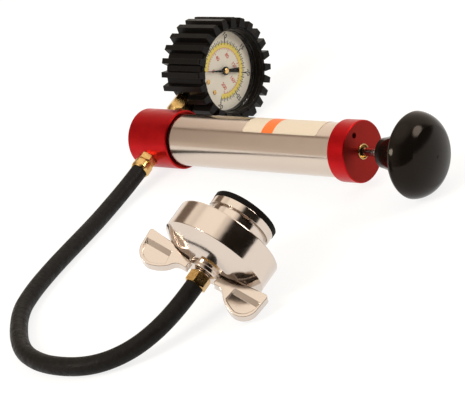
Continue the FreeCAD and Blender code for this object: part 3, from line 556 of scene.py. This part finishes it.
# wear along edges, found where the surface turns within Width
edges, entry, leave = new_group("edges", "Mask", Width=0.0005, Strength=6.0)
rounded = node_at(edges, "ShaderNodeBevel", samples=6)
surface = node_at(edges, "ShaderNodeNewGeometry")
same = node_at(edges, "ShaderNodeVectorMath", operation="DOT_PRODUCT")
turned_away = node_at(edges, "ShaderNodeMath", operation="SUBTRACT")
turned_away.inputs[0].default_value = 1.0
stronger = node_at(edges, "ShaderNodeMath", operation="MULTIPLY", use_clamp=True)
edges.links.new(entry.outputs["Width"], rounded.inputs["Radius"])
edges.links.new(rounded.outputs["Normal"], same.inputs[0])
edges.links.new(surface.outputs["Normal"], same.inputs[1])
edges.links.new(same.outputs["Value"], turned_away.inputs[1])
edges.links.new(turned_away.outputs[0], stronger.inputs[0])
edges.links.new(entry.outputs["Strength"], stronger.inputs[1])
edges.links.new(stronger.outputs[0], leave.inputs["Mask"])

boot_rubber, tree, shader = make_material(
    "boot_rubber", Base_Color=(0.006, 0.005, 0.0045, 1), Roughness=0.42, Specular_IOR_Level=0.14)
handled_gloss(tree, shader, size=70.0, low=0.33, high=0.5)
rubbed = place_group(tree, edges, Width=0.0007, Strength=5.0)
colour_between(tree, shader, rubbed, (0.005, 0.0042, 0.0036), (0.018, 0.015, 0.013))
skin = place_group(tree, grain, Size=1400.0, Detail=4.0)
bump_from(tree, shader, skin, depth=0.00006, strength=0.6)
finish_nodes(boot_rubber, "gauge_boot")

case_black, tree, shader = make_material(
    "case_black", Base_Color=(0.007, 0.006, 0.005, 1), Roughness=0.28, Specular_IOR_Level=0.14)
stoved = place_group(tree, grain, Size=500.0, Detail=3.0)
bump_from(tree, shader, stoved, depth=0.00005, strength=0.4)
worn = place_group(tree, edges, Width=0.0004, Strength=4.0)
colour_between(tree, shader, worn, (0.005, 0.0042, 0.0036), (0.11, 0.10, 0.085))
finish_nodes(case_black, "gauge_case", "bezel", "dial_spacer")

dial_paint, tree, shader = make_material(
    "dial_paint", Base_Color=(0.84, 0.80, 0.71, 1), Roughness=0.5)
fleck = place_group(tree, grain, Size=350.0, Detail=3.0)
colour_between(tree, shader, fleck, (0.84, 0.80, 0.69), (0.90, 0.86, 0.75))
bump_from(tree, shader, fleck, depth=0.00002, strength=0.2)
finish_nodes(dial_paint, "dial_plate")

lens_glass, tree, shader = make_material(
    "lens_glass", Base_Color=(1, 1, 1, 1), Roughness=0.02, IOR=1.14, Transmission_Weight=1.0)
handled_gloss(tree, shader, size=90.0, low=0.0, high=0.05)
# light reaches the dial through the lens as through air
rays = node_at(tree, "ShaderNodeLightPath")
unseen = joined(tree, "MAXIMUM", rays.outputs["Is Shadow Ray"], rays.outputs["Is Diffuse Ray"])
air = node_at(tree, "ShaderNodeBsdfTransparent")
mix_shaders(tree, unseen, shader, air)
finish_nodes(lens_glass, "gauge_lens")

# the dial's centre over the barrel's axis, its face along it, and the turns of its scales in
# degrees: from the right, counter-clockwise, to zero, and clockwise from there to full
gauge_centre = 0.0623
dial_face = 0.0210
print_thick = 0.00004
zero_turn = 230.0
black_sweep = 279.0
red_sweep = black_sweep * 200 / 206.8  # the black scale's 30 is 206.8 on the red one


def dial_point(radius, turn, lift):
    """Point over the dial at a radius and turn."""
    a = math.radians(turn)
    across, up = radius * math.cos(a), radius * math.sin(a)
    return barrel_place @ Vector((dial_face + lift, across, gauge_centre + up))


def dial_band(bm, r0, r1, sweep, lift):
    """Ring between two radii, from zero over a sweep."""
    start, end = zero_turn, zero_turn - sweep
    steps = max(1, int(abs(end - start) / 3))
    for i in range(steps):
        a = start + (end - start) * i / steps
        b = start + (end - start) * (i + 1) / steps
        corners = ((r0, a), (r1, a), (r1, b), (r0, b))
        bm.faces.new([bm.verts.new(dial_point(r, t, lift)) for r, t in corners])


def dial_tick(bm, r0, r1, turn, width, lift):
    """Mark between two radii, as wide at its foot as at its tip."""
    a = math.degrees(width / 2 / r1)
    b = math.degrees(width / 2 / r0)
    corners = ((r0, turn - b), (r1, turn - a), (r1, turn + a), (r0, turn + b))
    bm.faces.new([bm.verts.new(dial_point(r, t, lift)) for r, t in corners])


def ink_material(name, colour):
    """Printing ink, a little darker in flecks."""
    material, tree, shader = make_material(name, Base_Color=(*colour, 1), Roughness=0.45)
    fleck = place_group(tree, grain, Size=900.0, Detail=2.0)
    colour_between(tree, shader, fleck, tuple(c * 0.8 for c in colour), colour)
    return material


def dial_print(name, bm, material):
    """Puts what is drawn in one colour on the dial."""
    piece = mesh_object(name, bm, material, smooth=False)
    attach(piece, "pump_body")


black_ink = ink_material("black_ink", (0.010, 0.009, 0.008))
red_ink = ink_material("red_ink", (0.66, 0.06, 0.03))
yellow_ink = ink_material("yellow_ink", (0.98, 0.80, 0.16))

# radii of the dial's rings, from the outside in
black_numbers = 0.0226
black_line = 0.01785
black_foot = 0.0178
band_outer = 0.0177
band_marks = 0.0165
band_inner = 0.0147
red_line = 0.0145
red_foot, red_long_foot = 0.0136, 0.0126
red_numbers = 0.0099

bm = bmesh.new()
dial_band(bm, band_inner, band_outer, black_sweep, print_thick)
dial_print("dial_yellow_band", bm, yellow_ink)

# black: 60 divisions outside the band, 30 in it, and the line between them
bm = bmesh.new()
for i in range(61):
    turn = zero_turn - black_sweep * i / 60
    length = 0.0030 if i % 10 == 0 else 0.0019 if i % 2 == 0 else 0.0012
    width = 0.00080 if i % 10 == 0 else 0.00055
    dial_tick(bm, black_foot, black_foot + length, turn, width, print_thick)
for i in range(31):
    turn = zero_turn - black_sweep * i / 30
    dial_tick(bm, band_marks, band_outer, turn, width=0.00040, lift=2 * print_thick)
dial_band(bm, band_outer, black_line, black_sweep, lift=2 * print_thick)
dial_print("dial_black_scale", bm, black_ink)

# red: 40 divisions inside the band, under a line
bm = bmesh.new()
for i in range(41):
    turn = zero_turn - red_sweep * i / 40
    foot, width = (red_long_foot, 0.00050) if i % 8 == 0 else (red_foot, 0.00034)
    dial_tick(bm, foot, band_inner, turn, width, print_thick)
dial_band(bm, red_line, band_inner, red_sweep, print_thick)
dial_print("dial_red_scale", bm, red_ink)


def numeral(bm, text, radius, turn, size):
    """Adds a number, upright towards the gauge's top, centred at a radius and turn."""
    words = bpy.data.curves.new("numeral", "FONT")
    words.body = text
    words.size = size
    words.align_x = "CENTER"
    words.align_y = "CENTER"
    words.offset = size * 0.02  # a little bolder than the font
    holder = bpy.data.objects.new("numeral", words)
    flat = bpy.data.meshes.new_from_object(holder)
    a = math.radians(turn)
    middle = Vector((radius * math.cos(a), radius * math.sin(a), 0))
    start = len(bm.verts)
    bm.from_mesh(flat)
    bm.verts.ensure_lookup_table()
    for vertex in bm.verts[start:]:
        p = vertex.co + middle
        vertex.co = barrel_place @ Vector((dial_face + print_thick, p.x, gauge_centre + p.y))
    bpy.data.objects.remove(holder)
    bpy.data.curves.remove(words)
    bpy.data.meshes.remove(flat)


def number_row(name, texts, radius, size, sweep, material):
    """Numbers spread evenly over a scale's sweep."""
    bm = bmesh.new()
    for i, text in enumerate(texts):
        numeral(bm, text, radius, zero_turn - sweep * i / (len(texts) - 1), size)
    dial_print(name, bm, material)


number_row("dial_black_numbers", ("0", "5", "10", "15", "20", "25", "30"),
           black_numbers, size=0.0042, sweep=black_sweep, material=black_ink)
number_row("dial_red_numbers", ("0", "40", "80", "120", "160", "200"),
           red_numbers, size=0.0036, sweep=red_sweep, material=red_ink)

pointer_black, tree, shader = make_material(
    "pointer_black", Base_Color=(0.006, 0.005, 0.004, 1), Roughness=0.5, Specular_IOR_Level=0.1)
fleck = place_group(tree, grain, Size=700.0, Detail=2.0)
bump_from(tree, shader, fleck, depth=0.00002, strength=0.4)
finish_nodes(pointer_black, "pointer")


# Adapter
# Die-cast cap with two wings, chromed all over. A spring holds it back on its hollow stem until it
# is pressed and turned. Then its ring locks a rubber seal, held in a chromed cup, into the neck.

adapter_axis = Vector((0.1294, 0.920728, 0.368125))

cast_chrome, tree, shader = make_material(
    "cast_chrome", Base_Color=(0.66, 0.57, 0.50, 1), Metallic=1.0, Roughness=0.14)
smeared = handled_gloss(tree, shader, size=60.0, low=0.10, high=0.18)
colour_between(tree, shader, smeared, (0.68, 0.59, 0.515), (0.60, 0.52, 0.455))
cast_wave = place_group(tree, grain, Size=110.0, Detail=2.0)
relief = bump_from(tree, shader, cast_wave, depth=0.0003, strength=0.22)
# the plating rounds the casting's edges
cast_edges = node_at(tree, "ShaderNodeBevel", samples=16)
cast_edges.inputs["Radius"].default_value = 0.0006
tree.links.new(cast_edges.outputs["Normal"], relief.inputs["Normal"])
finish_nodes(cast_chrome, "adapter_cap", "plunger", "adapter_stem", "seal_screw")

finish_nodes(soft_black, "neck_seal")
finish_nodes(steel_rod, "cap_spring", "thrust_washer", "lock_ring")
press_spring("cap_spring")

end_brass = brass_material(
    "end_brass", adapter_axis, light=(0.80, 0.53, 0.20), dark=(0.52, 0.31, 0.10))
finish_nodes(end_brass, "hose_end")
